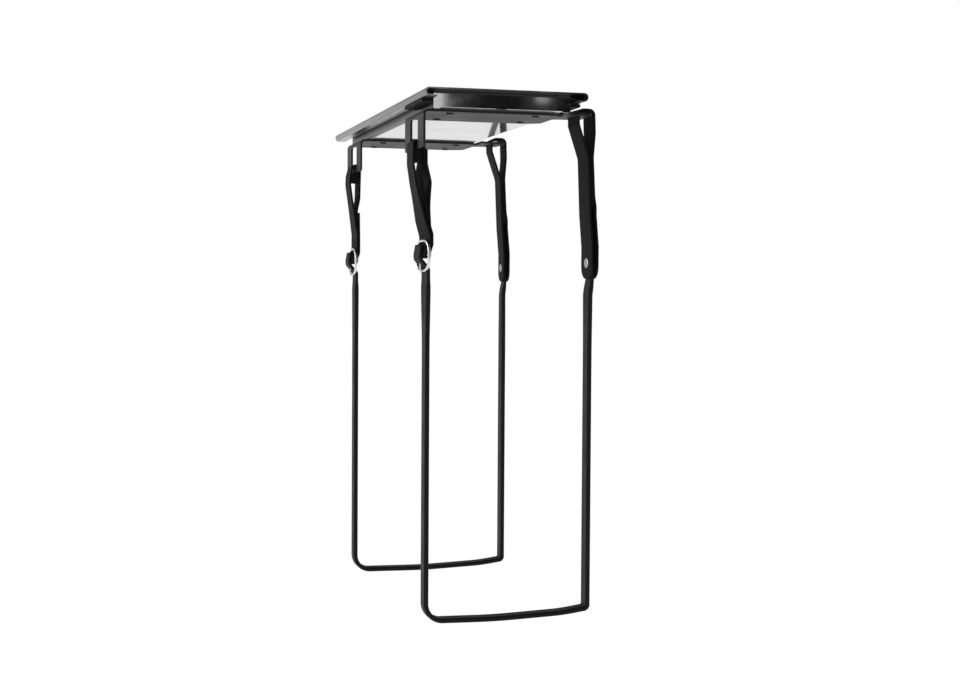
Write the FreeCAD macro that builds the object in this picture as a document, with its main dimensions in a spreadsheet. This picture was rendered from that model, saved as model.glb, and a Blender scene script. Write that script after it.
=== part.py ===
import FreeCAD, Part
import math
import os
import Sketcher

# Under-desk sliding sling holder for a computer.
# X is the width, Y the depth (front at -Y), Z up. The origin is the centre of the
# track's top face, and every other piece hangs below it. Lengths are in millimetres.

V = FreeCAD.Vector
doc = FreeCAD.newDocument("cpu_holder")
os.makedirs("parts", exist_ok=True)
sheet = doc.addObject("Spreadsheet::Sheet", "Sizes")


class Size:
    """A length: its value, and the sheet formula that gives the same value."""

    def __init__(self, value, text):
        self.value = float(value)
        self.text = text

    def join(self, other, sign, value):
        return Size(value, "(" + self.text + " " + sign + " " + other.text + ")")

    def __add__(self, other):
        other = as_size(other)
        return self.join(other, "+", self.value + other.value)

    def __sub__(self, other):
        other = as_size(other)
        return self.join(other, "-", self.value - other.value)

    def __mul__(self, other):
        other = as_size(other)
        return self.join(other, "*", self.value * other.value)

    def __truediv__(self, other):
        other = as_size(other)
        return self.join(other, "/", self.value / other.value)

    def __neg__(self):
        return as_size(0) - self

    def __radd__(self, other):
        return as_size(other) + self

    def __rsub__(self, other):
        return as_size(other) - self


def as_size(number):
    """A plain number as a Size."""
    if isinstance(number, Size):
        return number
    return Size(number, "(" + repr(float(number)) + ")")


row_number = 0


def derived(name, length):
    """Write a length that follows from others in the sheet and return it."""
    global row_number
    row_number += 1
    sheet.set("A" + str(row_number), name)
    sheet.set("B" + str(row_number), "=" + length.text.replace("Sizes.", ""))
    sheet.setAlias("B" + str(row_number), name)
    return Size(length.value, "Sizes." + name)


def size(name, value):
    """Write one driving length in the sheet and return it."""
    global row_number
    row_number += 1
    sheet.set("A" + str(row_number), name)
    sheet.set("B" + str(row_number), str(value))
    sheet.setAlias("B" + str(row_number), name)
    return Size(value, "Sizes." + name)


# Track: rolled sheet section
track_length = size("track_length", 540)
track_width = size("track_width", 185)
track_sheet = size("track_sheet", 1.6)
curl_height = size("curl_height", 9.6)
lip_reach = size("lip_reach", 13.5)
screw_inset_x = size("screw_inset_x", 37.5)
screw_inset_y = size("screw_inset_y", 50)
screw_spacing_x = derived("screw_spacing_x", track_width - screw_inset_x * 2)
screw_spacing_y = derived("screw_spacing_y", track_length - screw_inset_y * 2)
screw_hole_d = size("screw_hole_d", 5.5)

# Carriage pan
pan_sheet = size("pan_sheet", 1.5)
pan_inset = size("pan_inset", 19)
pan_width = derived("pan_width", track_width - pan_inset * 2)
pan_setback = size("pan_setback", 23)
pan_rear_inset = size("pan_rear_inset", 27)
pan_length = derived("pan_length", track_length - pan_setback - pan_rear_inset)
pan_bottom = size("pan_bottom", 18.5)
flange_reach = size("flange_reach", 12.5)
flange_top = size("flange_top", 3.9)
wall_height = size("wall_height", 11)
bend_radius = size("bend_radius", 2.2)
slide_gap = size("slide_gap", 0.05)
free_gap = size("free_gap", 0.3)

# Front fascia
fascia_overlap = size("fascia_overlap", 5)
fascia_width = derived("fascia_width", pan_width + fascia_overlap * 2)
fascia_top = size("fascia_top", 1.9)
fascia_bottom = size("fascia_bottom", 18.7)
fascia_thick = size("fascia_thick", 3)
fascia_foot_drop = size("fascia_foot_drop", 1.4)
fascia_foot_width = size("fascia_foot_width", 8)
fascia_round = size("fascia_round", 1.2)

# Glides
glide_length = size("glide_length", 85)
shoe_depth = size("shoe_depth", 3.5)

# Hangers
hanger_sheet = size("hanger_sheet", 2.5)
hanger_depth = size("hanger_depth", 92)
hanger_setback = size("hanger_setback", 90)
hanger_rear_inset = size("hanger_rear_inset", 92)
hanger_spacing = derived("hanger_spacing", track_length - hanger_setback - hanger_rear_inset)
bracket_out = size("bracket_out", 9.25)
bracket_x = derived("bracket_x", pan_width / 2 + bracket_out)
bracket_bottom = size("bracket_bottom", 60)
rail_height = size("rail_height", 8)
window_depth = size("window_depth", 37)
window_top = size("window_top", 25)
tongue_depth = size("tongue_depth", 50)
tongue_rise = size("tongue_rise", 4)
tongue_out = size("tongue_out", 47.1)
tongue_end = derived("tongue_end", pan_width / 2 + tongue_out)
taper_in = size("taper_in", 9.5)
taper_start = derived("taper_start", pan_width / 2 - taper_in)
taper_run = size("taper_run", 30)
taper_end = derived("taper_end", taper_start + taper_run)
end_bar = size("end_bar", 11)
slot_width = size("slot_width", 8)
slot_length = size("slot_length", 36)
rivet_head_d = size("rivet_head_d", 8)
rivet_head_drop = size("rivet_head_drop", 1.4)
rivet_spread_x = size("rivet_spread_x", 100)
rivet_spread_y = size("rivet_spread_y", 60)

# Rubber stops under the track's plate
stop_d = size("stop_d", 12)
stop_drop = size("stop_drop", 11)
stop_spread = size("stop_spread", 90)
slide_travel = size("slide_travel", 240)

# Webbing, band and buckle
web_width = size("web_width", 31)
web_thick = size("web_thick", 2.4)
ply_gap = size("ply_gap", 0.2)
band_width = size("band_width", 18)
band_thick = size("band_thick", 4)
band_drop = size("band_drop", 595.5)
band_sag = size("band_sag", 7)
band_corner = size("band_corner", 20)
band_tight_corner = size("band_tight_corner", 4.5)
clamp_top = size("clamp_top", 124)
clamp_bottom = size("clamp_bottom", 204)
clamp_round = size("clamp_round", 14.5)
strap_rivet_level = size("strap_rivet_level", 185)
strap_rivet_d = size("strap_rivet_d", 12)
loop_half = size("loop_half", 9.65)
leg_out = size("leg_out", 4.2)
leg_right = derived("leg_right", tongue_end + leg_out)
clamp_out = size("clamp_out", 2.4)
clamp_x = derived("clamp_x", leg_right + clamp_out)
clamp_lean = size("clamp_lean", 3)
lean_run = size("lean_run", 6)
pinch_rise = size("pinch_rise", 19)
pinch_radius = size("pinch_radius", 30)
neck_level = size("neck_level", 64)
neck_in = size("neck_in", 9)
neck_out = size("neck_out", 3.8)
neck_radius = size("neck_radius", 25)
throat_level = size("throat_level", 26)
wire_d = size("wire_d", 3.2)
bar_d = size("bar_d", 2.8)
bar_into_side = size("bar_into_side", 0.5)
buckle_inside = size("buckle_inside", 33)
buckle_top = size("buckle_top", 162.3)
buckle_middle = size("buckle_middle", 178.5)
buckle_bottom = size("buckle_bottom", 195.9)
buckle_corner = size("buckle_corner", 8)
prong_thick = size("prong_thick", 2.2)
prong_width = size("prong_width", 3)
prong_hole = size("prong_hole", 4.4)

near_leg_in = size("near_leg_in", 4.3)
near_leg = derived("near_leg", pan_width / 2 - near_leg_in)
far_leg_out = size("far_leg_out", 7.7)
far_leg = derived("far_leg", pan_width / 2 + far_leg_out)
bow_radius = size("bow_radius", 800)
bow_end_radius = size("bow_end_radius", 250)

doc.recompute()


# Bodies and sketches

def new_body(name):
    """A Part Design body whose label is its file's name."""
    body = doc.addObject("PartDesign::Body", name)
    body.Label = name
    return body


def new_sketch(body, name, role, offset):
    """An empty sketch on one of the body's own origin planes, moved along its normal."""
    sketch = body.newObject("Sketcher::SketchObject", name)
    plane = None
    for feature in body.Origin.OriginFeatures:
        if feature.Role == role:
            plane = feature
    sketch.AttachmentSupport = [(plane, "")]
    sketch.MapMode = "FlatFace"
    offset = as_size(offset)
    sketch.AttachmentOffset = FreeCAD.Placement(V(0, 0, offset.value), FreeCAD.Rotation())
    sketch.setExpression("AttachmentOffset.Base.z", offset.text)
    return sketch


def fix(sketch, kind, arguments, length):
    """One driving constraint bound to a sheet formula."""
    length = as_size(length)
    index = sketch.addConstraint(Sketcher.Constraint(kind, *arguments, length.value))
    sketch.setExpression("Constraints[" + str(index) + "]", length.text)


def fix_point(sketch, geometry, position, x, y):
    """Hold a point of a sketch at x, y from its origin."""
    fix(sketch, "DistanceX", (-1, 1, geometry, position), x)
    fix(sketch, "DistanceY", (-1, 1, geometry, position), y)


def draw(sketch, corners, closed):
    """Draw lines through the corners (x, y, radius), rounding each corner with a radius."""
    count = len(corners)
    places = [V(as_size(c[0]).value, as_size(c[1]).value, 0) for c in corners]
    radii = [as_size(c[2]) if len(c) > 2 else as_size(0) for c in corners]
    arcs = {}
    enters = list(places)
    leaves = list(places)
    for i in range(count):
        if radii[i].value == 0 or (not closed and i in (0, count - 1)):
            continue
        before = (places[i] - places[i - 1]).normalize()
        after = (places[(i + 1) % count] - places[i]).normalize()
        turn = math.atan2(before.x * after.y - before.y * after.x, before.dot(after))
        cut = radii[i].value * math.tan(abs(turn) / 2)
        enters[i] = places[i] - before * cut
        leaves[i] = places[i] + after * cut
        side = 1 if turn > 0 else -1
        centre = enters[i] + V(-before.y, before.x, 0) * side * radii[i].value
        first, last = (enters[i], leaves[i]) if turn > 0 else (leaves[i], enters[i])
        start = math.atan2(first.y - centre.y, first.x - centre.x)
        stop = math.atan2(last.y - centre.y, last.x - centre.x)
        circle = Part.Circle(centre, V(0, 0, 1), radii[i].value)
        arcs[i] = (sketch.addGeometry(Part.ArcOfCircle(circle, start, stop), False), turn > 0)
    lines = {}
    for i in range(count if closed else count - 1):
        j = (i + 1) % count
        if (enters[j] - leaves[i]).dot(places[j] - places[i]) <= 0:
            raise ValueError(sketch.Name + ": no straight run left after corner " + str(i))
        lines[i] = sketch.addGeometry(Part.LineSegment(leaves[i], enters[j]), False)
    for i in range(count):
        into = lines.get(i - 1 if i else count - 1)
        out = lines.get(i)
        if i in arcs:
            arc, left = arcs[i]
            sketch.addConstraint(Sketcher.Constraint("Tangent", into, 2, arc, 1 if left else 2))
            sketch.addConstraint(Sketcher.Constraint("Tangent", arc, 2 if left else 1, out, 1))
            fix(sketch, "Radius", (arc,), radii[i])
            corner = sketch.addGeometry(Part.Point(places[i]), True)
            sketch.addConstraint(Sketcher.Constraint("PointOnObject", corner, 1, into))
            sketch.addConstraint(Sketcher.Constraint("PointOnObject", corner, 1, out))
            fix_point(sketch, corner, 1, corners[i][0], corners[i][1])
        elif into is not None and out is not None:
            sketch.addConstraint(Sketcher.Constraint("Coincident", into, 2, out, 1))
            fix_point(sketch, out, 1, corners[i][0], corners[i][1])
        elif out is not None:
            fix_point(sketch, out, 1, corners[i][0], corners[i][1])
        else:
            fix_point(sketch, into, 2, corners[i][0], corners[i][1])


def draw_box(sketch, x, y, width, height):
    """A rectangle centred on x, y."""
    left, right = as_size(x) - width / 2, as_size(x) + width / 2
    low, high = as_size(y) - height / 2, as_size(y) + height / 2
    draw(sketch, [(left, low), (right, low), (right, high), (left, high)], True)


def draw_circle(sketch, x, y, diameter):
    """A circle centred on x, y."""
    x, y, diameter = as_size(x), as_size(y), as_size(diameter)
    circle = Part.Circle(V(x.value, y.value, 0), V(0, 0, 1), diameter.value / 2)
    index = sketch.addGeometry(circle, False)
    fix(sketch, "Diameter", (index,), diameter)
    fix_point(sketch, index, 3, x, y)


def pad(body, sketch, name, length, both=True):
    """Thicken a sketch, by half to each side or all to one side."""
    length = as_size(length)
    feature = body.newObject("PartDesign::Pad", name)
    feature.Profile = sketch
    feature.Length = length.value
    feature.setExpression("Length", length.text)
    if both:
        feature.SideType = "Symmetric"
    sketch.Visibility = False
    return feature


def pocket(body, sketch, name, side="both"):
    """Cut a sketch through everything and see that it removed material."""
    doc.recompute()
    before = body.Shape.Volume
    feature = body.newObject("PartDesign::Pocket", name)
    feature.Profile = sketch
    feature.Type = "ThroughAll"
    if side == "both":
        feature.SideType = "Symmetric"
    feature.Reversed = side == "high"
    sketch.Visibility = False
    doc.recompute()
    if not body.Shape.Volume < before - 0.01:
        raise ValueError(name + " removes nothing from " + body.Label)
    return feature


def strip(name, path, y, thick, width, oval=False):
    """A flat strip bent along a path of (x, z, radius) in the plane at depth y."""
    body = new_body(name)
    y, thick, width = as_size(y), as_size(thick), as_size(width)
    spine = new_sketch(body, name + "_path", "XZ_Plane", -y)
    draw(spine, path, False)
    upright = abs(as_size(path[1][0]).value - as_size(path[0][0]).value) < 0.001
    if upright:
        section = new_sketch(body, name + "_section", "XY_Plane", path[0][1])
        across, along = as_size(path[0][0]), y
    else:
        section = new_sketch(body, name + "_section", "YZ_Plane", path[0][0])
        across, along = y, as_size(path[0][1])
    if oval:
        low, high = along - width / 2, along + width / 2
        left, right = across - thick / 2, across + thick / 2
        rim = thick * 0.48
        draw(section, [(left, low, rim), (right, low, rim), (right, high, rim), (left, high, rim)], True)
    elif upright:
        draw_box(section, across, along, thick, width)
    else:
        draw_box(section, across, along, width, thick)
    sweep = body.newObject("PartDesign::AdditivePipe", name + "_sweep")
    sweep.Profile = section
    sweep.Spine = (spine, [])
    sweep.Transition = "Right corner"
    return body


def ring_points(body, axis, level, tolerance=0.05):
    """Names of the body's edges that run along an axis and end at a level in Z."""
    names = []
    for index, edge in enumerate(body.Shape.Edges):
        box = edge.BoundBox
        spans = {"X": box.XLength, "Y": box.YLength, "Z": box.ZLength}
        along = spans.pop(axis)
        if along > 0.5 and max(spans.values()) < tolerance and abs(box.ZMin - level) < tolerance:
            names.append("Edge" + str(index + 1))
    return names


def round_edges(body, names, radius, label):
    """Fillet the named edges of a body."""
    radius = as_size(radius)
    base = body.Tip
    feature = body.newObject("PartDesign::Fillet", label)
    feature.Base = (base, names)
    feature.Radius = radius.value
    feature.setExpression("Radius", radius.text)
    doc.recompute()


def disc(body, name, role, offset, x, y, diameter, length, both=False):
    """One round post standing on a plane of the body."""
    sketch = new_sketch(body, name + "_round", role, offset)
    draw_circle(sketch, x, y, diameter)
    return pad(body, sketch, name + "_pad", length, both)


def post(body, name, places, bottom, height, diameter):
    """Upright cylinders at several (x, y) places, from a level in Z upwards."""
    sketch = new_sketch(body, name + "_rounds", "XY_Plane", bottom)
    for x, y in places:
        draw_circle(sketch, x, y, diameter)
    return pad(body, sketch, name + "_post", height, False)


def bodies_done(body):
    """Recompute and refuse a broken body."""
    doc.recompute()
    if body.Shape.isNull() or not body.Shape.isValid() or not body.Shape.Solids:
        raise ValueError(body.Label + " is not a valid solid")
    return body


nodes = []

# Levels and places that several pieces share
half_track = track_width / 2
front_edge = -(track_length / 2)
lip_middle = -(curl_height - track_sheet / 2)
plate_middle = -(track_sheet / 2)
pan_middle = -(pan_bottom - pan_sheet / 2)
flange_middle = -(flange_top + pan_sheet / 2)
web_middle = pan_width / 2 - pan_sheet / 2
flange_edge = web_middle + pan_sheet / 2 + flange_reach
pan_front = front_edge + pan_setback
pan_centre = pan_front + pan_length / 2
near_y = front_edge + hanger_setback
far_y = near_y + hanger_spacing

# Track
curl_radius = curl_height / 2 - track_sheet / 2 - 0.05
outer = half_track - track_sheet / 2
inner = half_track - lip_reach
track = strip("track", [
    (-inner, lip_middle),
    (-outer, lip_middle, curl_radius),
    (-outer, plate_middle, curl_radius),
    (outer, plate_middle, curl_radius),
    (outer, lip_middle, curl_radius),
    (inner, lip_middle),
], 0, track_sheet, track_length)
holes = new_sketch(track, "screw_holes", "XY_Plane", 0)
for side_x in (-1, 1):
    for side_y in (-1, 0, 1):
        draw_circle(holes, screw_spacing_x / 2 * side_x, screw_spacing_y / 2 * side_y, screw_hole_d)
pocket(track, holes, "screw_hole_cut")
nodes.append(track)

# Rubber stops that the carriage's rear wall meets
wall_rear = pan_front + pan_length
front_stop_y = wall_rear - pan_sheet - slide_travel - stop_d / 2 - 1
for name, y in (("front_limit_stops", front_stop_y), ("rear_limit_stops", wall_rear + stop_d / 2 + 1)):
    body = new_body(name)
    places = [(-(stop_spread / 2), y), (stop_spread / 2, y)]
    post(body, name, places, -(track_sheet + stop_drop), stop_drop, stop_d)
    nodes.append(body)

# Carriage pan with an upturned rear wall
pan = strip("carriage_pan", [
    (-flange_edge, flange_middle),
    (-web_middle, flange_middle, bend_radius),
    (-web_middle, pan_middle, bend_radius),
    (web_middle, pan_middle, bend_radius),
    (web_middle, flange_middle, bend_radius),
    (flange_edge, flange_middle),
], pan_centre, pan_sheet, pan_length)
wall = new_sketch(pan, "rear_wall", "XZ_Plane", -(wall_rear - pan_sheet / 2))
draw_box(wall, 0, pan_middle + wall_height / 2, web_middle * 2, wall_height)
pad(pan, wall, "rear_wall_pad", pan_sheet)
doc.recompute()
nodes.append(pan)

# Front fascia: a shallow moulding with a foot at each lower corner
fascia_half = fascia_width / 2
foot_inner = fascia_half - fascia_foot_width
foot_level = -(fascia_bottom + fascia_foot_drop)
fascia = new_body("front_fascia")
face = new_sketch(fascia, "fascia_outline", "XZ_Plane", -(pan_front - fascia_thick / 2))
draw(face, [
    (-fascia_half, foot_level, fascia_round),
    (-foot_inner, foot_level, fascia_round),
    (-foot_inner + fascia_foot_drop, -fascia_bottom),
    (foot_inner - fascia_foot_drop, -fascia_bottom),
    (foot_inner, foot_level, fascia_round),
    (fascia_half, foot_level, fascia_round),
    (fascia_half, -fascia_top, fascia_round),
    (-fascia_half, -fascia_top, fascia_round),
], True)
pad(fascia, face, "fascia_plate", fascia_thick)
nodes.append(fascia)

# Glides: each wraps the pan's flange and the track's return lip
glide_inner = pan_width / 2 + bend_radius - 0.5
glide_outer = half_track - track_sheet - curl_height / 2 + 1.6
shoe_outer = half_track - track_sheet
shoe_top = -(curl_height + slide_gap)
lip_top = -(curl_height - track_sheet - slide_gap)
flange_low = -(flange_top + pan_sheet)
for name, side, start in (
    ("front_left_glide", -1, pan_front),
    ("front_right_glide", 1, pan_front),
    ("rear_left_glide", -1, wall_rear - glide_length),
    ("rear_right_glide", 1, wall_rear - glide_length),
):
    body = new_body(name)
    section = new_sketch(body, name + "_section", "XZ_Plane", -(start + glide_length / 2))
    rim = [
        (glide_inner, -(track_sheet + slide_gap * 3)),
        (glide_outer, -(track_sheet + slide_gap * 3)),
        (glide_outer, lip_top),
        (inner - free_gap, lip_top),
        (inner - free_gap, shoe_top),
        (shoe_outer, shoe_top),
        (shoe_outer, shoe_top - shoe_depth),
        (glide_inner, shoe_top - shoe_depth),
        (glide_inner, flange_low),
        (flange_edge, flange_low),
        (flange_edge, -flange_top),
        (glide_inner, -flange_top),
    ]
    draw(section, [(x * side, z) for x, z in rim], True)
    pad(body, section, name + "_block", glide_length)
    nodes.append(body)

# Hangers: plate, windowed bracket at the left, raised tongue with a strap slot at the right
plate_level = -(pan_bottom + hanger_sheet / 2)
tongue_level = plate_level + tongue_rise
rise_start = pan_width / 2 + 4
bar_centre = tongue_end - end_bar / 2
half_depth = hanger_depth / 2
window_low = -(bracket_bottom - rail_height)
rivet_places = [(rivet_spread_x / 2 * i, rivet_spread_y / 2 * j) for i in (-1, 1) for j in (-1, 1)]
margin = 6


def hanger(name, y):
    """One hanger, centred at depth y."""
    body = strip(name, [
        (-bracket_x, -bracket_bottom),
        (-bracket_x, plate_level, bend_radius * 2),
        (rise_start, plate_level, bend_radius * 3),
        (rise_start + tongue_rise * 2, tongue_level, bend_radius * 3),
        (tongue_end, tongue_level),
    ], y, hanger_sheet, hanger_depth)
    plan = new_sketch(body, name + "_plan", "XY_Plane", 0)
    far = tongue_end + margin
    draw(plan, [
        (-far, y - half_depth - margin), (far, y - half_depth - margin),
        (far, y + half_depth + margin), (-far, y + half_depth + margin),
    ], True)
    draw(plan, [
        (margin - far, y - half_depth),
        (taper_start, y - half_depth, 30),
        (taper_end, y - tongue_depth / 2, 18),
        (tongue_end, y - tongue_depth / 2, 5),
        (tongue_end, y + tongue_depth / 2, 5),
        (taper_end, y + tongue_depth / 2, 18),
        (taper_start, y + half_depth, 30),
        (margin - far, y + half_depth),
    ], True)
    pocket(body, plan, name + "_trim")
    openings = new_sketch(body, name + "_openings", "XY_Plane", 0)
    slot_low, slot_high = tongue_end - end_bar - slot_width, tongue_end - end_bar
    draw(openings, [
        (slot_low, y - slot_length / 2, 2.5), (slot_high, y - slot_length / 2, 2.5),
        (slot_high, y + slot_length / 2, 2.5), (slot_low, y + slot_length / 2, 2.5),
    ], True)
    for dx, dy in rivet_places:
        draw_circle(openings, dx, y + dy, 4.2)
    pocket(body, openings, name + "_slot")
    side = new_sketch(body, name + "_side", "YZ_Plane", 0)
    draw(side, [
        (y - half_depth - margin, -(bracket_bottom + margin)),
        (y + half_depth + margin, -(bracket_bottom + margin)),
        (y + half_depth + margin, margin),
        (y - half_depth - margin, margin),
    ], True)
    draw(side, [
        (y - half_depth, -bracket_bottom, 5), (y + half_depth, -bracket_bottom, 5),
        (y + half_depth, margin / 2), (y - half_depth, margin / 2),
    ], True)
    draw(side, [
        (y - window_depth / 2, window_low, 3), (y + window_depth / 2, window_low, 3),
        (y + window_depth / 2, -window_top, 3), (y - window_depth / 2, -window_top, 3),
    ], True)
    pocket(body, side, name + "_window")
    return body


def hanger_rivets(name, y):
    """The rivets that hold one hanger to the pan."""
    body = new_body(name)
    places = [(dx, y + dy) for dx, dy in rivet_places]
    head_low = -(pan_bottom + hanger_sheet + rivet_head_drop)
    post(body, name + "_low", places, head_low, rivet_head_drop, rivet_head_d)
    post(body, name + "_stem", places, -(pan_bottom + hanger_sheet), pan_sheet + hanger_sheet, 4)
    post(body, name + "_high", places, -(pan_bottom - pan_sheet), rivet_head_drop, rivet_head_d * 0.8)
    return body


pan_holes = new_sketch(pan, "rivet_holes", "XY_Plane", 0)
for y in (near_y, far_y):
    for dx, dy in rivet_places:
        draw_circle(pan_holes, dx, y + dy, 4.2)
pocket(pan, pan_holes, "rivet_hole_cut")


# Slings: right strap, left strap, band, buckle frame, prong and strap rivet
ply = web_thick / 2
band_side = band_thick / 2 + ply_gap + ply
pair_side = ply_gap / 2 + ply
loop_top = tongue_level + hanger_sheet / 2 + ply_gap + ply
rail_top = window_low + ply_gap + ply
wire_side = band_thick / 2 + free_gap + wire_d / 2
wrap_side = bar_d / 2 + 0.15 + ply
belt_out = wrap_side + wire_side + ply + ply_gap + band_thick / 2
prong_out = wire_d / 2 + 0.1 + prong_thick / 2
slope = 1.065


def right_strap(name, y):
    """Webbing bent over the tongue's end bar, its two plies clamping the band."""
    inner, outer = clamp_x - band_side, clamp_x + band_side
    body = strip(name, [
        (inner, -clamp_bottom),
        (inner, -(strap_rivet_level - pinch_rise), pinch_radius),
        (inner - clamp_lean, -(clamp_top + lean_run), 26),
        (clamp_x - neck_in, -neck_level, neck_radius),
        (bar_centre - loop_half, -throat_level, 12),
        (bar_centre - loop_half, loop_top, 4),
        (bar_centre + loop_half, loop_top, 4),
        (bar_centre + loop_half + 0.9, -(throat_level + 10), 20),
        (clamp_x - neck_out, -neck_level, 30),
        (clamp_x - 1.6, -(clamp_top - 16), 12),
        (outer - clamp_lean, -(clamp_top - 3), 12),
        (outer - clamp_lean, -(clamp_top + lean_run), 33),
        (outer, -(strap_rivet_level - pinch_rise), pinch_radius),
        (outer, -clamp_bottom),
    ], y, web_thick, web_width)
    doc.recompute()
    round_edges(body, ring_points(body, "X", -clamp_bottom.value), clamp_round, name + "_end")
    hole = new_sketch(body, name + "_hole", "YZ_Plane", 0)
    draw_circle(hole, y, -strap_rivet_level, 3.2)
    pocket(body, hole, name + "_hole_cut")
    return body


def strap_rivet(name, y):
    """A domed rivet through both plies and the band."""
    body = new_body(name)
    grip = band_side + ply
    disc(body, name + "_stem", "YZ_Plane", clamp_x, y, -strap_rivet_level, 3, grip * 2, True)
    disc(body, name + "_outer", "YZ_Plane", clamp_x + grip, y, -strap_rivet_level, strap_rivet_d, 1.3)
    disc(body, name + "_inner", "YZ_Plane", clamp_x - grip - 1.3, y, -strap_rivet_level, strap_rivet_d, 1.3)
    return body


def left_strap(name, y, leg, lap, rise, fall):
    """Webbing looped over the bracket's rail and round the buckle's centre bar.

    lap, rise and fall hold the places across from the band's leg of the outer ply, the ply that
    climbs from the buckle to the rail and the ply that comes back down from it.
    """
    wrap = leg - wire_side
    inner = wrap + wire_d / 2 + ply_gap + ply
    outer = inner + web_thick + ply_gap
    turn = -(buckle_middle + wrap_side)
    path = [(leg + place[0],) + place[1:] for place in lap]
    path += [
        (outer, -(buckle_top + 4.7), 4),
        (wrap + wrap_side, -(buckle_middle - 3), 3),
        (wrap + wrap_side, turn, wrap_side - 0.25),
        (wrap - wrap_side, turn, wrap_side - 0.25),
        (wrap - wrap_side, -(buckle_middle - 1.8), 3),
        (inner, -(buckle_top + 3.7), 4),
    ]
    path += [(leg + place[0],) + place[1:] for place in rise]
    path += [
        (-(bracket_x + 4.85), rail_top, 4),
        (leg + fall[0][0], rail_top, 4),
    ]
    path += [(leg + place[0],) + place[1:] for place in fall]
    body = strip(name, path, y, web_thick, web_width)
    cut = new_sketch(body, name + "_notch", "YZ_Plane", 0)
    draw_box(cut, y, -(buckle_middle + 0.5), prong_hole, 14)
    pocket(body, cut, name + "_notch_cut")
    return body


def band(name, y, leg):
    """The U-shaped band, from the right clamp round to the tip under the buckle's top bar."""
    low_bend = -(buckle_bottom - 2.3)
    reach = belt_out * slope
    body = strip(name, [
        (clamp_x - clamp_lean, -clamp_top),
        (clamp_x - clamp_lean, -(clamp_top + lean_run), 30),
        (clamp_x, -(strap_rivet_level - pinch_rise), pinch_radius),
        (clamp_x, -(clamp_bottom - 0.5), 20),
        (leg_right, -(clamp_bottom + 18), 20),
        (leg_right, -(band_drop - band_sag), band_tight_corner),
        (leg_right * 0.76, -(band_drop - band_sag * 0.4), bow_end_radius),
        (leg_right * 0.1, -(band_drop + 0.7), bow_radius),
        (leg, -(band_drop - 0.5), band_corner),
        (leg, low_bend, 6),
        (leg - belt_out, low_bend + reach, 6),
        (leg - belt_out, -(buckle_middle - 1), 6),
        (leg - belt_out + 2, -(buckle_top + 4.9)),
    ], y, band_thick, band_width, True)
    slot = new_sketch(body, name + "_prong_slot", "YZ_Plane", 0)
    draw_box(slot, y, -(buckle_middle + 5.75), prong_hole, 14.9)
    pocket(body, slot, name + "_prong_slot_cut", "low")
    hole = new_sketch(body, name + "_rivet_hole", "YZ_Plane", 0)
    draw_circle(hole, y, -strap_rivet_level, 3.2)
    pocket(body, hole, name + "_rivet_hole_cut", "high")
    return body


def buckle(name, y, leg):
    """A wire frame with a centre bar."""
    body = new_body(name)
    plane = leg - wire_side
    reach = buckle_inside / 2 + wire_d / 2
    path = new_sketch(body, name + "_path", "YZ_Plane", plane)
    draw(path, [
        (y - reach, -buckle_top, buckle_corner), (y - reach, -buckle_bottom, buckle_corner),
        (y + reach, -buckle_bottom, buckle_corner), (y + reach, -buckle_top, buckle_corner),
    ], True)
    wire = new_sketch(body, name + "_wire", "XZ_Plane", -y)
    draw_circle(wire, plane, -buckle_bottom, wire_d)
    sweep = body.newObject("PartDesign::AdditivePipe", name + "_loop")
    sweep.Profile = wire
    sweep.Spine = (path, [])
    bar_length = (reach + bar_into_side) * 2
    disc(body, name + "_bar", "XZ_Plane", -y, plane, -buckle_middle, bar_d, bar_length, True)
    return body


def prong(name, y, leg):
    """The prong: a ring on the centre bar and an arm that rests on the frame's lower bar."""
    body = new_body(name)
    plane = leg - wire_side
    ring = new_sketch(body, name + "_ring", "XZ_Plane", -y)
    draw_circle(ring, plane, -buckle_middle, (prong_out + prong_thick / 2) * 2)
    pad(body, ring, name + "_ring_pad", prong_width)
    arm = new_sketch(body, name + "_arm", "XZ_Plane", -y)
    low = -(buckle_bottom + wire_d / 2 + 0.9)
    draw(arm, [
        (plane - prong_out - prong_thick / 2, -buckle_middle),
        (plane - prong_out - prong_thick / 2, low, 1),
        (plane - prong_out + prong_thick / 2, low, 1),
        (plane - prong_out + prong_thick / 2, -buckle_middle),
    ], True)
    pad(body, arm, name + "_arm_pad", prong_width)
    bore = new_sketch(body, name + "_bore", "XZ_Plane", -y)
    draw_circle(bore, plane, -buckle_middle, bar_d + 0.12)
    pocket(body, bore, name + "_bore_cut")
    return body


near_plies = (
    [(-3.3, -60), (-3.3, -76, 20), (1.7, -97, 20), (-1, -126, 25), (-1, -146, 15), (1.7, -155, 10)],
    [(-0.9, -157, 10), (-6.4, -140, 12), (-14.8, -100, 40), (-18.4, -76, 30)],
    [(-5.9, -70, 10), (-9, -88, 20), (-3.6, -128, 30), (-3.6, -138.5)],
)
far_plies = (
    [(1.7, -114)],
    [(-0.9, -143, 30), (-10.4, -76, 15), (-10, -64, 8)],
    [(3.1, -62, 10), (2.2, -96, 20), (-0.9, -110, 20), (-0.9, -124)],
)
for place, y, leg, plies in (
    ("near", near_y, -near_leg, near_plies),
    ("far", far_y, -far_leg, far_plies),
):
    nodes.append(hanger(place + "_hanger", y))
    nodes.append(hanger_rivets(place + "_hanger_rivets", y))
    nodes.append(right_strap(place + "_right_strap", y))
    nodes.append(strap_rivet(place + "_strap_rivet", y))
    nodes.append(left_strap(place + "_left_strap", y, leg, *plies))
    nodes.append(band(place + "_band", y, leg))
    nodes.append(buckle(place + "_buckle_frame", y, leg))
    nodes.append(prong(place + "_prong", y, leg))

doc.recompute()
for item in doc.Objects:
    if "Invalid" in item.State or "Error" in item.State:
        raise ValueError(item.Name + " did not recompute")
for body in nodes:
    bodies_done(body)
    body.Shape.exportStep("parts/" + body.Label + ".step")
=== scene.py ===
import math

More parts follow.
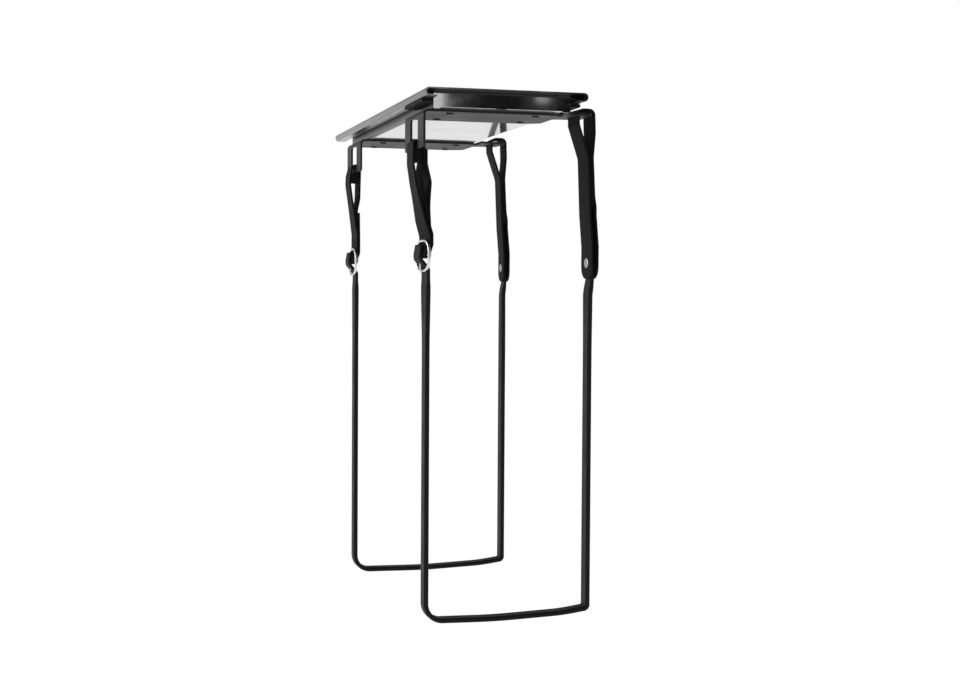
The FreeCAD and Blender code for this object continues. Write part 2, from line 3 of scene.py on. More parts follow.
import bmesh
import bpy
import numpy as np
from mathutils import Matrix, Vector


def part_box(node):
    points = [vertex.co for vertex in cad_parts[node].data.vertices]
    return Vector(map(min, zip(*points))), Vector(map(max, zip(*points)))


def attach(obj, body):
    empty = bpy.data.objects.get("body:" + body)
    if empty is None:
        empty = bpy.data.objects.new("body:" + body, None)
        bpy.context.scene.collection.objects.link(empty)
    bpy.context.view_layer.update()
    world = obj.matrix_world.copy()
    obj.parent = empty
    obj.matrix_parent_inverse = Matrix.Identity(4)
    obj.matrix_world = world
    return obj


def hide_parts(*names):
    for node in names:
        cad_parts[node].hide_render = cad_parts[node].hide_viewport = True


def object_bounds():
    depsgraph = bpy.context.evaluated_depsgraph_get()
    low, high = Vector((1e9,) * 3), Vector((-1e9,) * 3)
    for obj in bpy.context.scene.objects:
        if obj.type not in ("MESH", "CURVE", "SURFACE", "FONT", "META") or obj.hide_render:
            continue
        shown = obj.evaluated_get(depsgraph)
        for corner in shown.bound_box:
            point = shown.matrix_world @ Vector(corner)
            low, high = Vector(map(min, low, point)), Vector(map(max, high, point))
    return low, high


bl_info = {
    "name": "Sling Holder",
    "version": (1, 0, 0),
    "blender": (4, 5, 0),
    "location": "View3D > Sidebar > Holder",
    "description": "Builds the looks of an under-desk sliding sling holder",
    "category": "Add Mesh",
}

# X is the width, Y the depth (front at -Y), Z up. Lengths in metres.
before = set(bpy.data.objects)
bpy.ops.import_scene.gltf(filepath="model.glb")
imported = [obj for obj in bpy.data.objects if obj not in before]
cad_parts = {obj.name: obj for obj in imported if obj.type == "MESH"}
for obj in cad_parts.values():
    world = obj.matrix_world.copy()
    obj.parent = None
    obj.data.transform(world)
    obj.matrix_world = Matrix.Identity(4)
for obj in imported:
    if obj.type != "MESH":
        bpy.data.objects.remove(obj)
CAD_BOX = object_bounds()
MM = 0.001
BODY = "carriage"

TRACK_LOW, TRACK_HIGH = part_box("track")


def middle(node):
    """The centre of a node's box."""
    low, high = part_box(node)
    return (low + high) / 2


NEAR_Y = middle("near_band").y
FAR_Y = middle("far_band").y
CLAMP_X = middle("near_strap_rivet").x


# Surfaces

def smooth_path(corners, step, turn_step=0.1):
    """Centreline of straight runs joined by circular arcs.

    corners holds rows of across, up and radius. At each inner corner the arc's centre lies one
    radius to the inside of the run that comes in, and the arm from the centre turns through the
    corner's angle. The whole line is then read again at even steps of length and of turning.
    """
    rows = np.asarray(corners, float)
    place, radius = rows[:, :2], rows[1:-1, 2:3]
    run = np.diff(place, axis=0)
    run /= np.linalg.norm(run, axis=1, keepdims=True)
    into, out = run[:-1], run[1:]
    cross = into[:, 0] * out[:, 1] - into[:, 1] * out[:, 0]
    turn = np.arctan2(cross, (into * out).sum(1))[:, None]
    enter = place[1:-1] - into * radius * np.tan(np.abs(turn) / 2)
    left = np.stack([-into[:, 1], into[:, 0]], 1)
    centre = enter + left * radius * np.sign(turn)
    arm = enter - centre
    angle = turn * np.linspace(0, 1, 33)
    cos, sin = np.cos(angle), np.sin(angle)
    arcs = np.stack([
        centre[:, :1] + arm[:, :1] * cos - arm[:, 1:] * sin,
        centre[:, 1:] + arm[:, :1] * sin + arm[:, 1:] * cos,
    ], -1)
    line = np.concatenate([place[:1], arcs.reshape(-1, 2), place[-1:]])
    gap = np.linalg.norm(np.diff(line, axis=0), axis=1)
    line = line[np.concatenate([[True], gap > 1e-7])]
    piece = np.diff(line, axis=0)
    gap = np.linalg.norm(piece, axis=1)
    heading = np.unwrap(np.arctan2(piece[:, 1], piece[:, 0]))
    bend = np.concatenate([[0], np.abs(np.diff(heading)), [0]])
    length = np.concatenate([[0], np.cumsum(gap)])
    measure = length / step + np.cumsum(bend) / turn_step
    wanted = np.linspace(0, measure[-1], int(measure[-1]) + 2)
    length = np.interp(wanted, measure, length)
    full = np.concatenate([[0], np.cumsum(gap)])
    return np.stack([np.interp(length, full, line[:, k]) for k in (0, 1)], 1), length


def side_of(line):
    """The unit vector to the left of each point of a line, from the slope between its neighbours."""
    along = np.gradient(line, axis=0)
    along /= np.linalg.norm(along, axis=1, keepdims=True)
    return np.stack([-along[:, 1], along[:, 0]], 1)


def flat_section(width, thick, rim, across=15, rounding=7):
    """Closed outline of a flat strip: top row, right edge, bottom row, left edge.

    Each edge is an ellipse quarter pair of depth rim and height half the thickness.
    """
    half, tall = width / 2, thick / 2
    top = np.stack([np.linspace(-half + rim, half - rim, across), np.full(across, tall)], 1)
    angle = np.linspace(math.pi / 2, -math.pi / 2, rounding + 2)[1:-1]
    right = np.stack([half - rim + rim * np.cos(angle), tall * np.sin(angle)], 1)
    return np.concatenate([top, right, top[::-1] * [1, -1], right[::-1] * [-1, 1]])


def grid_faces(rows, columns, close_rows=False):
    """Quads of a rows by columns grid whose columns close on themselves."""
    i = np.arange(rows if close_rows else rows - 1)[:, None]
    k = np.arange(columns)[None, :]
    i2, k2 = (i + 1) % rows, (k + 1) % columns
    return np.stack(np.broadcast_arrays(
        i * columns + k, i * columns + k2, i2 * columns + k2, i2 * columns + k), -1)


def lofted_faces(rows, columns):
    """The faces of closed outlines joined in order, with both ends capped."""
    caps = [list(range(columns))[::-1], list(range((rows - 1) * columns, rows * columns))]
    return grid_faces(rows, columns).reshape(-1, 4).tolist() + caps


def new_piece(name, points, faces, uv=None, smooth=True):
    """A mesh object at the origin from an array of points and lists of faces."""
    mesh = bpy.data.meshes.new(name)
    mesh.from_pydata(np.asarray(points, float).tolist(), [], faces)
    if uv is not None:
        layer = mesh.uv_layers.new(name="UVMap")
        corner = np.zeros(len(mesh.loops), np.int32)
        mesh.loops.foreach_get("vertex_index", corner)
        layer.data.foreach_set("uv", np.asarray(uv, np.float32)[corner].ravel())
    mesh.polygons.foreach_set("use_smooth", np.full(len(mesh.polygons), smooth))
    mesh.update()
    piece = bpy.data.objects.new(name, mesh)
    bpy.context.scene.collection.objects.link(piece)
    return piece


def strip_piece(name, corners, y, section, step, shrink=None, swell=None):
    """A flat strip swept along a path in the plane at depth y.

    Point (s, t) = path(s) + height(t) * side(s) + width(t) * depth axis, where shrink(s) narrows
    the width and swell(path) thickens the strip.
    """
    line, length = smooth_path(corners, step)
    side = side_of(line)
    wide = np.ones(len(line)) if shrink is None else shrink(length, length[-1])
    thick = np.ones((len(line), 1)) if swell is None else swell(line)[:, None]
    x = line[:, :1] + side[:, :1] * section[None, :, 1] * thick
    z = line[:, 1:] + side[:, 1:] * section[None, :, 1] * thick
    depth = y + wide[:, None] * section[None, :, 0]
    points = np.stack([x, depth, z], -1).reshape(-1, 3)
    around = np.concatenate([[0], np.cumsum(np.linalg.norm(np.diff(section, axis=0), axis=1))])
    uv = np.stack(np.broadcast_arrays(length[:, None], around[None, :]), -1).reshape(-1, 2)
    piece = new_piece(name, points, lofted_faces(len(line), len(section)), uv)
    outward(piece)
    return piece


def outward(piece):
    """Turn every face of a closed piece so that its normal points outwards."""
    work = bmesh.new()
    work.from_mesh(piece.data)
    bmesh.ops.recalc_face_normals(work, faces=work.faces)
    work.to_mesh(piece.data)
    work.free()


def tube_points(centre, normal, binormal, radii):
    """Rings round a line: centre + a cos(t) normal + b sin(t) binormal."""
    angle = np.linspace(0, 2 * math.pi, 20, endpoint=False)
    a, b = (np.asarray(radius).reshape(-1, 1, 1) for radius in radii)
    return (centre[:, None, :] + normal[:, None, :] * (np.cos(angle)[None, :, None] * a)
            + binormal[:, None, :] * (np.sin(angle)[None, :, None] * b))


def turned(name, profile, centre, axis, segments=40):
    """A profile of (radius, height) turned round an axis: centre + height * axis + radius * ring(t)."""
    profile = np.asarray(profile, float)
    axis = np.asarray(axis, float)
    first = np.cross(axis, [0, 0, 1.0]) if abs(axis[2]) < 0.9 else np.array([1.0, 0, 0])
    first /= np.linalg.norm(first)
    second = np.cross(axis, first)
    angle = np.linspace(0, 2 * math.pi, segments, endpoint=False)
    ring = np.cos(angle)[:, None] * first + np.sin(angle)[:, None] * second
    body = (np.asarray(centre)[None, None, :] + profile[:, 1][:, None, None] * axis[None, None, :]
            + profile[:, 0][:, None, None] * ring[None, :, :])
    piece = new_piece(name, body.reshape(-1, 3), lofted_faces(len(profile), segments))
    outward(piece)
    return piece


# Materials

def new_material(name):
    """A material with only its Principled shader and output."""
    material = bpy.data.materials.new(name)
    material.use_nodes = True
    return material, material.node_tree, material.node_tree.nodes["Principled BSDF"]


def grain_group():
    """Mottle and fine grain from a position: a soft mask and a small height."""
    group = bpy.data.node_groups.new("surface_grain", "ShaderNodeTree")
    face = group.interface
    face.new_socket("Vector", in_out="INPUT", socket_type="NodeSocketVector")
    for name, value in (("Mottle Scale", 40.0), ("Grain Scale", 1500.0)):
        face.new_socket(name, in_out="INPUT", socket_type="NodeSocketFloat").default_value = value
    face.new_socket("Mottle", in_out="OUTPUT", socket_type="NodeSocketFloat")
    face.new_socket("Height", in_out="OUTPUT", socket_type="NodeSocketFloat")
    start = group.nodes.new("NodeGroupInput")
    end = group.nodes.new("NodeGroupOutput")
    for target, scale in (("Mottle", "Mottle Scale"), ("Height", "Grain Scale")):
        noise = group.nodes.new("ShaderNodeTexNoise")
        noise.inputs["Detail"].default_value = 3
        group.links.new(start.outputs["Vector"], noise.inputs["Vector"])
        group.links.new(start.outputs[scale], noise.inputs["Scale"])
        group.links.new(noise.outputs["Fac"], end.inputs[target])
    return group


def grain(material, tree, mottle, fine):
    """Place the grain group in a material, reading Object coordinates."""
    group = bpy.data.node_groups.get("surface_grain") or grain_group()
    node = tree.nodes.new("ShaderNodeGroup")
    node.node_tree = group
    node.inputs["Mottle Scale"].default_value = mottle
    node.inputs["Grain Scale"].default_value = fine
    coordinate = tree.nodes.new("ShaderNodeTexCoord")
    tree.links.new(coordinate.outputs["Object"], node.inputs["Vector"])
    return node


def ramp_between(tree, source, low, high, start=0.3, stop=0.7):
    """A colour ramp from low to high."""
    node = tree.nodes.new("ShaderNodeValToRGB")
    node.color_ramp.elements[0].position = start
    node.color_ramp.elements[1].position = stop
    node.color_ramp.elements[0].color = (*low, 1)
    node.color_ramp.elements[1].color = (*high, 1)
    tree.links.new(source, node.inputs["Fac"])
    return node.outputs["Color"]


def span_between(tree, source, low, high):
    """Map 0.3..0.7 of a mask to low..high."""
    node = tree.nodes.new("ShaderNodeMapRange")
    node.inputs["From Min"].default_value = 0.3
    node.inputs["From Max"].default_value = 0.7
    node.inputs["To Min"].default_value = low
    node.inputs["To Max"].default_value = high
    tree.links.new(source, node.inputs["Value"])
    return node.outputs["Result"]


def bump(tree, shader, height, strength, distance):
    """Feed a height through a Bump node to the shader's normal."""
    node = tree.nodes.new("ShaderNodeBump")
    node.inputs["Strength"].default_value = strength
    node.inputs["Distance"].default_value = distance
    tree.links.new(height, node.inputs["Height"])
    tree.links.new(node.outputs["Normal"], shader.inputs["Normal"])


def plain_finish(name, low, high, rough_low, rough_high, metallic=0.0, coat=0.0, mottle=30, fine=1500,
                 depth=0.02, specular=0.5):
    """A finish with mottled colour and roughness and a fine grain whose bump is depth millimetres."""
    material, tree, shader = new_material(name)
    mask = grain(material, tree, mottle, fine)
    tree.links.new(ramp_between(tree, mask.outputs["Mottle"], low, high), shader.inputs["Base Color"])
    roughness = span_between(tree, mask.outputs["Mottle"], rough_low, rough_high)
    tree.links.new(roughness, shader.inputs["Roughness"])
    shader.inputs["Metallic"].default_value = metallic
    shader.inputs["Coat Weight"].default_value = coat
    shader.inputs["Specular IOR Level"].default_value = specular
    bump(tree, shader, mask.outputs["Height"], 0.4, depth * MM)
    return material


def satin_sides(material, from_x, rough):
    """Make a gloss finish satin beyond a distance from the object's middle plane."""
    tree = material.node_tree
    shader = tree.nodes["Principled BSDF"]
    coordinate = tree.nodes.new("ShaderNodeTexCoord")
    split = tree.nodes.new("ShaderNodeSeparateXYZ")
    tree.links.new(coordinate.outputs["Object"], split.inputs[0])
    out = tree.nodes.new("ShaderNodeMath")
    out.operation = "ABSOLUTE"
    tree.links.new(split.outputs["X"], out.inputs[0])
    beyond = tree.nodes.new("ShaderNodeMapRange")
    beyond.interpolation_type = "SMOOTHSTEP"
    beyond.inputs["From Min"].default_value = from_x
    beyond.inputs["From Max"].default_value = from_x + 1.5 * MM
    tree.links.new(out.outputs[0], beyond.inputs["Value"])
    for socket, value in (("Roughness", rough), ("Coat Weight", 0.0)):
        mix = tree.nodes.new("ShaderNodeMix")
        tree.links.new(beyond.outputs["Result"], mix.inputs["Factor"])
        if shader.inputs[socket].links:
            tree.links.new(shader.inputs[socket].links[0].from_socket, mix.inputs["A"])
        else:
            mix.inputs["A"].default_value = shader.inputs[socket].default_value
        mix.inputs["B"].default_value = value
        tree.links.new(mix.outputs["Result"], shader.inputs[socket])
    return material


def weave_group():
    """Plain weave from a flat map in metres: height of crossing yarns, also used for painted shade."""
    group = bpy.data.node_groups.new("webbing_weave", "ShaderNodeTree")
    face = group.interface
    face.new_socket("Vector", in_out="INPUT", socket_type="NodeSocketVector")
    for name, value in (("Along Pitch", 0.0016), ("Across Pitch", 0.0012)):
        face.new_socket(name, in_out="INPUT", socket_type="NodeSocketFloat").default_value = value
    face.new_socket("Height", in_out="OUTPUT", socket_type="NodeSocketFloat")
    nodes, links = group.nodes, group.links
    start, end = nodes.new("NodeGroupInput"), nodes.new("NodeGroupOutput")
    split = nodes.new("ShaderNodeSeparateXYZ")
    links.new(start.outputs["Vector"], split.inputs[0])

    def math_node(kind, a, b=None):
        node = nodes.new("ShaderNodeMath")
        node.operation = kind
        for index, value in enumerate((a, b)):
            if value is None:
                continue
            if isinstance(value, (int, float)):
                node.inputs[index].default_value = value
            else:
                links.new(value, node.inputs[index])
        return node.outputs[0]

    u = math_node("DIVIDE", split.outputs["X"], start.outputs["Along Pitch"])
    v = math_node("DIVIDE", split.outputs["Y"], start.outputs["Across Pitch"])
    yarn = math_node("ABSOLUTE", math_node("SINE", math_node("MULTIPLY", v, math.pi)))
    phase = math_node("MULTIPLY", math_node("ADD", u, math_node("FLOOR", v)), math.pi)
    swing = math_node("MULTIPLY_ADD", math_node("COSINE", phase), 0.5)
    swing.node.inputs[2].default_value = 0.5
    links.new(math_node("MULTIPLY", yarn, swing), end.inputs["Height"])
    return group


def shaded(colour, factor):
    """A colour made lighter or darker by a factor."""
    return tuple(c * factor for c in colour)


def webbing_material(colour):
    """Black nylon webbing: woven height, sheen and painted shade, darker between the yarns and lighter on
    their crowns.
    """
    material, tree, shader = new_material("black_webbing")
    weave = tree.nodes.new("ShaderNodeGroup")
    weave.node_tree = weave_group()
    weave.inputs["Along Pitch"].default_value = 1.7 * MM
    weave.inputs["Across Pitch"].default_value = 1.25 * MM
    uv = tree.nodes.new("ShaderNodeUVMap")
    uv.uv_map = "UVMap"
    tree.links.new(uv.outputs["UV"], weave.inputs["Vector"])
    height = weave.outputs["Height"]
    # Painted shade: the colour follows the weave's height, darker between the yarns and lighter on their
    # crowns.
    painted_yarn_shade = ramp_between(tree, height, shaded(colour, 0.35), shaded(colour, 1.5), 0.05, 0.9)
    tree.links.new(painted_yarn_shade, shader.inputs["Base Color"])
    tree.links.new(span_between(tree, height, 0.85, 0.6), shader.inputs["Roughness"])
    shader.inputs["Sheen Weight"].default_value = 0.02
    shader.inputs["Sheen Roughness"].default_value = 0.4
    shader.inputs["Specular IOR Level"].default_value = 0.12
    bump(tree, shader, height, 0.8, 0.35 * MM)
    return material


FINISHES = {}


def finish_of(name):
    """The material of a finish, made on first use from the panel's colours."""
    if name in FINISHES:
        return FINISHES[name]
    look = bpy.context.scene.holder_finishes
    steel, pan, plate = look.steel_colour, look.pan_colour, look.plate_colour
    made = {
        "painted_steel": lambda: plain_finish(
            "painted_steel", shaded(steel, 0.8), shaded(steel, 1.3),
            0.17, 0.26, 0, 0.15, 25, 1400, 0.012, 0.46),
        "satin_steel": lambda: plain_finish(
            "satin_steel", shaded(steel, 0.6), shaded(steel, 1.1), 0.5, 0.62, 0, 0, 30, 1600, 0.05, 0.26),
        "gloss_plastic": lambda: plain_finish(
            "gloss_plastic", (0.003,) * 3, (0.006,) * 3, 0.05, 0.09, 0, 0.2, 60, 300, 0.002, 0.5),
        "slide_plastic": lambda: plain_finish(
            "slide_plastic", (0.003,) * 3, (0.007,) * 3, 0.6, 0.75, 0, 0, 60, 1800, 0.04, 0.12),
        "rubber": lambda: plain_finish(
            "rubber", (0.01,) * 3, (0.018,) * 3, 0.7, 0.88, 0, 0, 80, 1600, 0.06, 0.25),
        "gloss_paint": lambda: satin_sides(plain_finish(
            "gloss_paint", tuple(pan), shaded(pan, 1.3), 0.16, 0.24, 0, 0.9, 18, 900, 0.008, 0.65),
            PAN_GLOSS_HALF * MM, 0.42),
        "nickel": lambda: plain_finish(
            "nickel", tuple(plate), shaded(plate, 0.82), 0.16, 0.32, 1, 0, 120, 1500, 0.01),
        # Painted shade: a darker copy of the nickel, used for the rivets.
        "nickel_in_painted_shade": lambda: plain_finish(
            "nickel_in_painted_shade", (0.36, 0.36, 0.365), (0.26, 0.26, 0.262), 0.35, 0.55, 1, 0, 220, 1500, 0.02),
        "band_polymer": lambda: plain_finish(
            "band_polymer", (0.006,) * 3, (0.012,) * 3, 0.5, 0.65, 0, 0, 50, 1500, 0.03, 0.14),
        "thread": lambda: plain_finish(
            "thread", (0.012,) * 3, (0.03,) * 3, 0.6, 0.8, 0, 0, 300, 2500, 0.05, 0.2),
        "black_webbing": lambda: webbing_material(tuple(look.webbing_colour)),
    }
    FINISHES[name] = made[name]()
    return FINISHES[name]


def dress(piece, finish, body=BODY, nodes=()):
    """Give a new piece its finish, its body and the nodes it stands for."""
    piece.data.materials.clear()
    piece.data.materials.append(finish_of(finish))
    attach(piece, body)
    if nodes:
        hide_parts(*nodes)
    return piece


def paint(node, finish):
    """Give a carried-over node its finish."""
    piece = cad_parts[node]
    for index in range(len(piece.material_slots)):
        piece.material_slots[index].material = finish_of(finish)
    if not piece.material_slots:
        piece.data.materials.append(finish_of(finish))


class HolderSizes(bpy.types.PropertyGroup):
    web_width: bpy.props.FloatProperty(
        name="Webbing width", description="Width of the nylon webbing", default=31 * MM, unit="LENGTH")
    web_thick: bpy.props.FloatProperty(
        name="Webbing thickness", description="Thickness of one ply", default=2.4 * MM, unit="LENGTH")
    band_width: bpy.props.FloatProperty(
        name="Band width", description="Width of the sling band", default=18 * MM, unit="LENGTH")
    band_thick: bpy.props.FloatProperty(
        name="Band thickness", description="Thickness of the band in its clamp and buckle",
        default=4 * MM, unit="LENGTH")
    wire: bpy.props.FloatProperty(
        name="Buckle wire", description="Diameter of the buckle's wire", default=3.2 * MM, unit="LENGTH")


class HolderFinishes(bpy.types.PropertyGroup):
    steel_colour: bpy.props.FloatVectorProperty(
        name="Painted steel", description="Colour of the painted sheet",
        default=(0.012, 0.012, 0.013), subtype="COLOR")
    pan_colour: bpy.props.FloatVectorProperty(
        name="Pan", description="Colour of the pan's gloss paint",
        default=(0.06, 0.06, 0.062), subtype="COLOR")
    plate_colour: bpy.props.FloatVectorProperty(
        name="Plating", description="Colour of the plated fittings",
        default=(0.75, 0.75, 0.77), subtype="COLOR")
    webbing_colour: bpy.props.FloatVectorProperty(
        name="Webbing", description="Colour of the webbing",
        default=(0.008, 0.008, 0.008), subtype="COLOR")


# Places and sizes that the pieces share, in millimetres
BRACKET_X, RAIL_TOP, RAIL_EDGE = 82.75, -52, 4.85
BAR_X = 115.1
LOOP_HALF, LOOP_CORNER = 9.65, 6.5
LEG_RIGHT = 124.8
TONGUE_LEVEL, TONGUE_HALF = -15.75, 1.25
NECK_LEVEL = -64
CLAMP_TOP, CLAMP_BOTTOM, CLAMP_ROUND, CLAMP_LEAN = 124, 204, 14.5, 3
LEAN_RUN = 6
RIVET_LEVEL, PINCH_RISE = 185, 19
RIVET_DOME, RIVET_SHANK = 1.3, 1.5
BUCKLE_TOP, BUCKLE_MIDDLE, BUCKLE_BOTTOM = 162.3, 178.5, 195.9
BUCKLE_INSIDE, BUCKLE_CORNER = 33, 13.5
BAND_DROP, BAND_SAG = 595.5, 7
# The band's free run below the clamps, as a share of its thickness in them, and where it eases in
FREE_SWELL, SWELL_RUN = 1.375, 12
BAR_D = 2.8
PLY_GAP, WRAP_GAP, WIRE_GAP = 0.2, 0.15, 0.3
PRONG_COIL, PRONG_PAST, PRONG_TAPER = 2.75, 0.9, 8
# The track's rolled edge and sheet, and the plugs in its ends
CURL, SHEET = 9.6, 1.6
PLUG_EASE, PLUG_SETBACK, PLUG_LENGTH, PLUG_PLAY = 0.9, 0.6, 12, 0.05
# The rear glides' C round the pan's flange
RUNNER_IN, RUNNER_OUT, RUNNER_LOW = 75.2, 87.7, -7.95
FLANGE_EDGE, FLANGE_LOW, FLANGE_HIGH = 86, -5.4, -3.9
PAN_GLOSS_HALF = 69.5
ARCH_RISE = 4.2
FADE = 90
REACH = 60
WEB_STEP, BAND_STEP = 0.8, 4
TAB_PLIES, TAB_HIGH, TAB_LOW, TAB_STAGGER = 4, 60.4, 73, 0.5
STITCH_ROWS, STITCH_SPREAD, STITCHES = (-63.5, -73.5), 12.5, 9
STITCH_HALF, STITCH_TALL, STITCH_OUT = 1.25, 0.4, 0.35
TAB = {"near": (-86.3, -77.6), "far": (-90.1, -79.6)}
TURN_RIGHT = {"near": 4.7, "far": -2.4}
TURN_LEFT = {"near": 10, "far": 3}
LEGS = {"near": (NEAR_Y, -69.2), "far": (FAR_Y, -81.2)}

# Places across from the band's leg, level and bend radius of each left strap's plies:
# the outer ply from its end down to the buckle, the ply that climbs to the rail, the ply that comes down
PLIES = {
    "near": (
        [(-3.3, -60, 0), (-3.3, -76, 20), (1.7, -97, 20), (-1, -126, 25), (-1, -146, 15), (1.7, -155, 10)],
        [(-0.9, -157, 10), (-6.4, -140, 12), (-14.8, -100, 40), (-18.4, -76, 30)],
        [(-5.9, -70, 10), (-9, -88, 20), (-3.6, -128, 30), (-3.6, -138.5, 0)],
    ),
    "far": (
        [(1.7, -114, 0)],
        [(-0.9, -143, 30), (-10.4, -76, 15), (-10, -64, 8)],
        [(3.1, -62, 10), (2.2, -96, 20), (-0.9, -110, 20), (-0.9, -124, 0)],
    ),
}


def levels():
    """Offsets of the plies from the band's centre, worked out from the panel's sizes."""
    sizes = bpy.context.scene.holder_sizes
    thick, band, wire = sizes.web_thick / MM, sizes.band_thick / MM, sizes.wire / MM
    ply = thick / 2
    return {
        "ply": ply, "thick": thick, "band_side": band / 2 + PLY_GAP + ply,
        "wire_side": band / 2 + WIRE_GAP + wire / 2, "wrap_side": BAR_D / 2 + WRAP_GAP + ply,
        "belt_out": BAR_D / 2 + WRAP_GAP + ply + band / 2 + WIRE_GAP + wire / 2 + ply + PLY_GAP + band / 2,
    }


def both_rounded(corner, width):
    """Width factor near both ends of a strip."""
    def factor(length, total):
        inside = np.clip(corner - np.minimum(total - length, length), 0, corner)
        return 1 - (corner - np.sqrt(np.clip(corner ** 2 - inside ** 2, 0, None))) / (width / 2)
    return factor


def swing(piece, centre, degrees, steps):
    """Turn a piece about the upright line through centre by an angle that changes with height.

    Angle(z) = degrees * smooth step over each pair of heights in steps: none outside the first and
    last, all of it between the second and third. Points further than REACH across the width stay.
    """
    mesh = piece.data
    flat = np.zeros(len(mesh.vertices) * 3, np.float32)
    mesh.vertices.foreach_get("co", flat)
    points = flat.reshape(-1, 3)
    none_low, full_low, full_high, none_high = steps
    height = points[:, 2] / MM
    part = np.clip((height - none_low) / (full_low - none_low), 0, 1)
    part = np.minimum(part, np.clip((none_high - height) / (none_high - full_high), 0, 1))
    dx, dy = points[:, 0] - centre[0], points[:, 1] - centre[1]
    angle = np.radians(degrees) * part * part * (3 - 2 * part) * (np.abs(dx) < REACH * MM)
    points[:, 0] = centre[0] + dx * np.cos(angle) - dy * np.sin(angle)
    points[:, 1] = centre[1] + dx * np.sin(angle) + dy * np.cos(angle)
    mesh.vertices.foreach_set("co", points.ravel())
    mesh.update()


def swing_right(piece, place):
    """Turn the clamp of a right strap a little, as the hung strap does."""
    low = -(CLAMP_BOTTOM + FADE)
    swing(piece, (CLAMP_X, LEGS[place][0]), TURN_RIGHT[place], (low, -CLAMP_BOTTOM, 10, 20))


def swing_left(piece, place):
    """Turn what hangs at a buckle a little, as the slack belt does."""
    plane = (LEGS[place][1] - levels()["wire_side"]) * MM
    low = -(BUCKLE_BOTTOM + 4)
    swing(piece, (plane, LEGS[place][0]), TURN_LEFT[place], (low - FADE, low, -(BUCKLE_TOP - 3), -100))


class HOLDER_OT_right_straps(bpy.types.Operator):
    """Webbing bent over the tongue's end bar, its two plies clamping the band"""
    bl_idname = "holder.right_straps"
    bl_label = "Right straps"

    def execute(self, context):
        sizes = context.scene.holder_sizes
        at = levels()
        clamp = CLAMP_X / MM
        inner, outer = clamp - at["band_side"], clamp + at["band_side"]
        loop_top = TONGUE_LEVEL + TONGUE_HALF + PLY_GAP + at["ply"] + ARCH_RISE
        path = np.array([
            (inner, -CLAMP_BOTTOM, 0),
            (inner, -(RIVET_LEVEL - PINCH_RISE), 30),
            (inner - CLAMP_LEAN, -(CLAMP_TOP + LEAN_RUN), 26),
            (clamp - 9, NECK_LEVEL, 25),
            (BAR_X - LOOP_HALF, -26, 12),
            (BAR_X - LOOP_HALF, loop_top, LOOP_CORNER),
            (BAR_X + LOOP_HALF, loop_top, LOOP_CORNER),
            (BAR_X + LOOP_HALF + 0.9, -36, 20),
            (clamp - 3.8, NECK_LEVEL, 30),
            (clamp - 1.6, -(CLAMP_TOP - 16), 12),
            (outer - CLAMP_LEAN, -(CLAMP_TOP - 3), 12),
            (outer - CLAMP_LEAN, -(CLAMP_TOP + LEAN_RUN), 33),
            (outer, -(RIVET_LEVEL - PINCH_RISE), 30),
            (outer, -CLAMP_BOTTOM, 0),
        ]) * MM
        section = flat_section(sizes.web_width, sizes.web_thick, sizes.web_thick * 0.35)
        ends = both_rounded(CLAMP_ROUND * MM, sizes.web_width)
        for place, (y, _) in LEGS.items():
            piece = strip_piece(place + "_right_webbing", path, y, section, WEB_STEP * MM, ends)
            swing_right(piece, place)
            dress(piece, "black_webbing", nodes=[place + "_right_strap"])
        return {"FINISHED"}


class HOLDER_OT_left_straps(bpy.types.Operator):
    """Webbing looped over the bracket's rail and round the buckle's centre bar"""
    bl_idname = "holder.left_straps"
    bl_label = "Left straps"

    def execute(self, context):
        sizes = context.scene.holder_sizes
        at = levels()
        ply, thick = at["ply"], at["thick"]
        rail_top = RAIL_TOP + PLY_GAP + ply
        section = flat_section(sizes.web_width, sizes.web_thick, sizes.web_thick * 0.35)
        for place, (y, leg) in LEGS.items():
            lap, rise, fall = (np.array(rows, float) + [leg, 0, 0] for rows in PLIES[place])
            wrap, reach = leg - at["wire_side"], at["wrap_side"]
            inner = wrap + sizes.wire / MM / 2 + PLY_GAP + ply
            outer = inner + thick + PLY_GAP
            turn = -(BUCKLE_MIDDLE + reach)
            wrapped = [
                (outer, -(BUCKLE_TOP + 4.7), 4), (wrap + reach, -(BUCKLE_MIDDLE - 3), 3),
                (wrap + reach, turn, reach - 0.25), (wrap - reach, turn, reach - 0.25),
                (wrap - reach, -(BUCKLE_MIDDLE - 1.8), 3), (inner, -(BUCKLE_TOP + 3.7), 4),
            ]
            rail = [(-(BRACKET_X + RAIL_EDGE), rail_top, 4), (fall[0, 0], rail_top, 4)]
            path = np.concatenate([lap, wrapped, rise, rail, fall]) * MM
            piece = strip_piece(place + "_left_webbing", path, y, section, WEB_STEP * MM)
            swing_left(piece, place)
            dress(piece, "black_webbing", nodes=[place + "_left_strap"])
            outer_face, inner_face = TAB[place]
            tab_ply = (inner_face - outer_face) / TAB_PLIES
            thin = flat_section(sizes.web_width - 1.4 * MM, (tab_ply - 0.06) * MM, 0.8 * MM)
            for index in range(TAB_PLIES):
                x = outer_face + tab_ply * (index + 0.5)
                low = -(TAB_LOW + TAB_STAGGER * (index % 2))
                ends = np.array([(x, -TAB_HIGH, 0), (x, low, 0)]) * MM
                tab = strip_piece(place + "_sewn_tab_" + str(index + 1), ends, y, thin, WEB_STEP * MM)
                dress(tab, "black_webbing")
            stitches(place, y, path)
        return {"FINISHED"}


